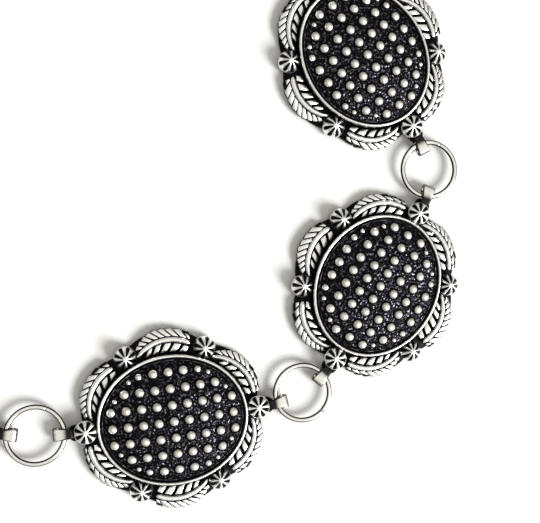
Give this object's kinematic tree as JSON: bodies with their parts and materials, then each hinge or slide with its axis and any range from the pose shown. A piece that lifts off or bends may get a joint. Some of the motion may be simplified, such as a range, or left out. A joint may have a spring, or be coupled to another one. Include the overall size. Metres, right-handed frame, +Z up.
{
  "type": "concho chain belt",
  "caption": "Chain belt of domed oval conchos with studded centres and feather borders, joined by wire rings and folded strap links, lying fastened in a loop.",
  "frame": {"origin": "on the surface that the belt lies on, at the middle of the fastened loop", "axes": "+Z up from the flat backs of the conchos, +X along the loop's longest side"},
  "size_m": [0.3538, 0.2568, 0.0076],
  "materials": {
    "antiqued_silver": "cast zinc with a black antiqued finish, its high parts rubbed back to bright silver",
    "bright_nickel": "bright nickel plate"
  },
  "bodies": {
    "root": {"concho_1": "antiqued_silver", "concho_2": "antiqued_silver", "concho_3": "antiqued_silver", "concho_4": "antiqued_silver", "concho_5": "antiqued_silver", "concho_6": "antiqued_silver", "concho_7": "antiqued_silver", "concho_8": "antiqued_silver", "concho_9": "antiqued_silver", "concho_10": "antiqued_silver", "concho_11": "antiqued_silver", "concho_12": "antiqued_silver", "ring_1": "bright_nickel", "ring_2": "bright_nickel", "ring_3": "bright_nickel", "ring_4": "bright_nickel", "ring_5": "bright_nickel", "ring_6": "bright_nickel", "ring_7": "bright_nickel", "ring_8": "bright_nickel", "ring_9": "bright_nickel", "ring_10": "bright_nickel", "ring_11": "bright_nickel", "ring_12": "bright_nickel", "strap_1a": "bright_nickel", "strap_1b": "bright_nickel", "strap_2a": "bright_nickel", "strap_2b": "bright_nickel", "strap_3a": "bright_nickel", "strap_3b": "bright_nickel", "strap_4a": "bright_nickel", "strap_4b": "bright_nickel", "strap_5a": "bright_nickel", "strap_5b": "bright_nickel", "strap_6b": "bright_nickel", "strap_7a": "bright_nickel", "strap_7b": "bright_nickel", "strap_8a": "bright_nickel", "strap_8b": "bright_nickel", "strap_9a": "bright_nickel", "strap_9b": "bright_nickel", "strap_10a": "bright_nickel", "strap_10b": "bright_nickel", "strap_11a": "bright_nickel", "strap_11b": "bright_nickel", "strap_12a": "bright_nickel", "strap_12b": "bright_nickel", "clasp_hook": "bright_nickel"}
  },
  "joints": []
}
